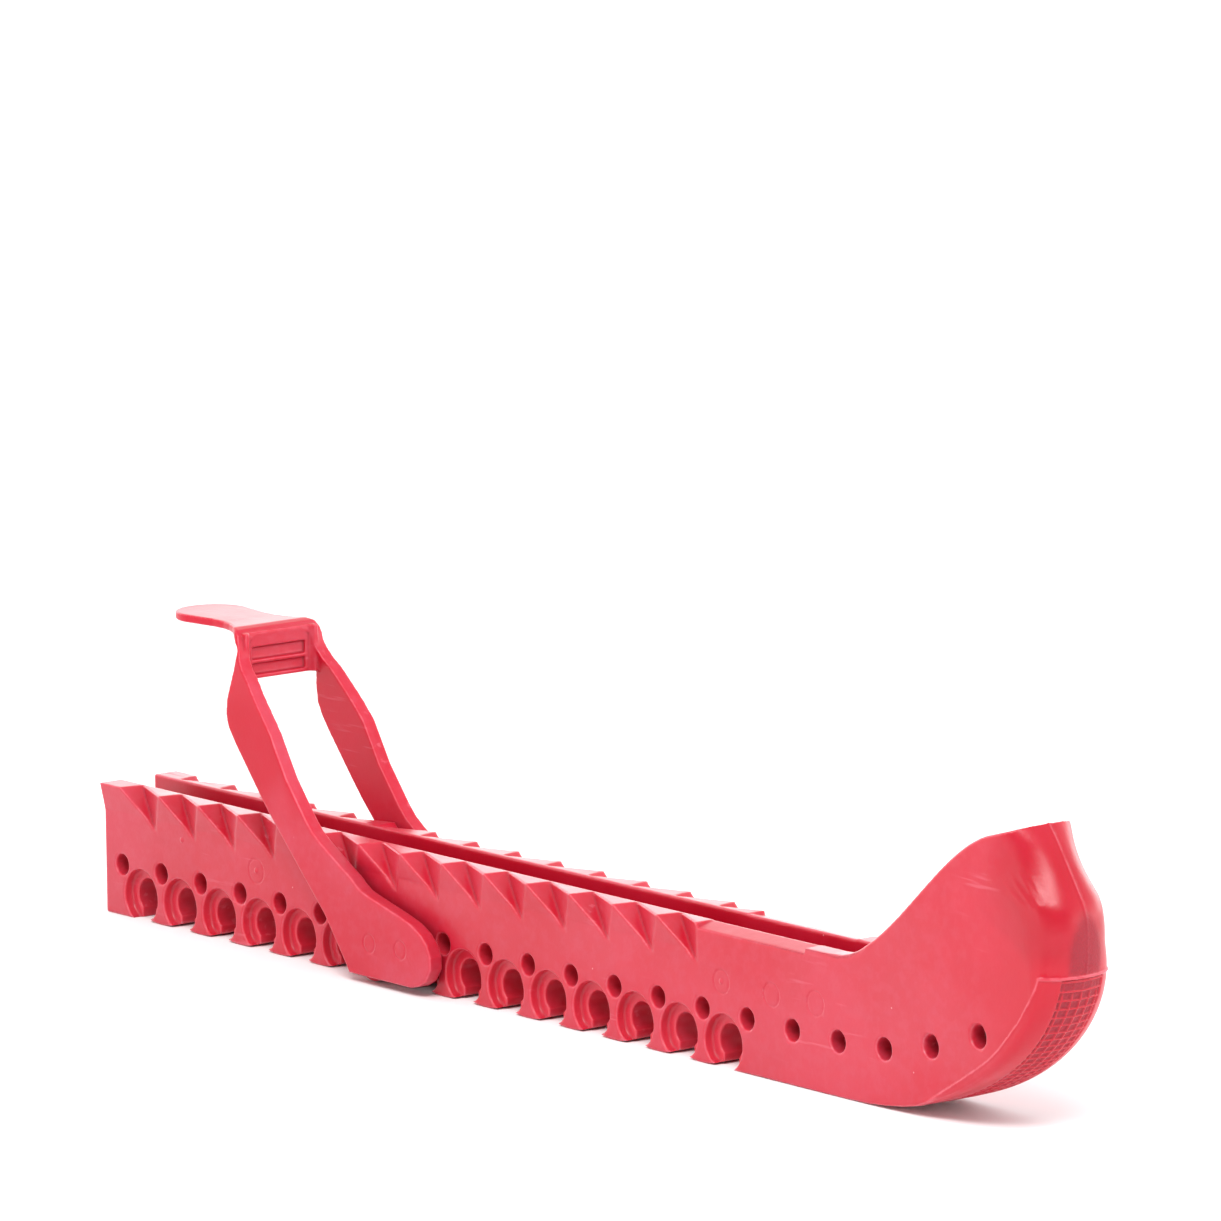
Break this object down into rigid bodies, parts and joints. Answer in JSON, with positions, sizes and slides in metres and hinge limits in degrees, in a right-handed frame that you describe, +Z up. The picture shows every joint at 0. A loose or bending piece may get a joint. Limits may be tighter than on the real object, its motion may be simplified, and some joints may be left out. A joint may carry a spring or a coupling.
{
  "type": "ice skate blade guard",
  "caption": "Flexible walking guard for an ice skate blade: a channel on arched feet with a closed toe cup, and a heel strap that swings on two pegs.",
  "frame": {"origin": "bottom centre of the guard's box: midway along the body, on its centre plane, at the floor under the feet", "axes": "+X from the heel end to the toe cup, +Y across the guard, +Z up"},
  "size_m": [0.308, 0.0274, 0.068],
  "materials": {
    "guard_body": "satin moulded thermoplastic rubber, slightly translucent red",
    "heel_strap": "satin moulded thermoplastic rubber, slightly translucent red"
  },
  "bodies": {
    "guard": {"guard_body": "guard_body"},
    "strap": {"heel_strap": "heel_strap"}
  },
  "joints": [
    {"name": "strap_swing", "type": "hinge", "parent": "guard", "child": "strap", "pos_m": [-0.0574, 0, 0.0051], "axis": [0, -1, 0], "range_deg": [-5, 22]}
  ]
}
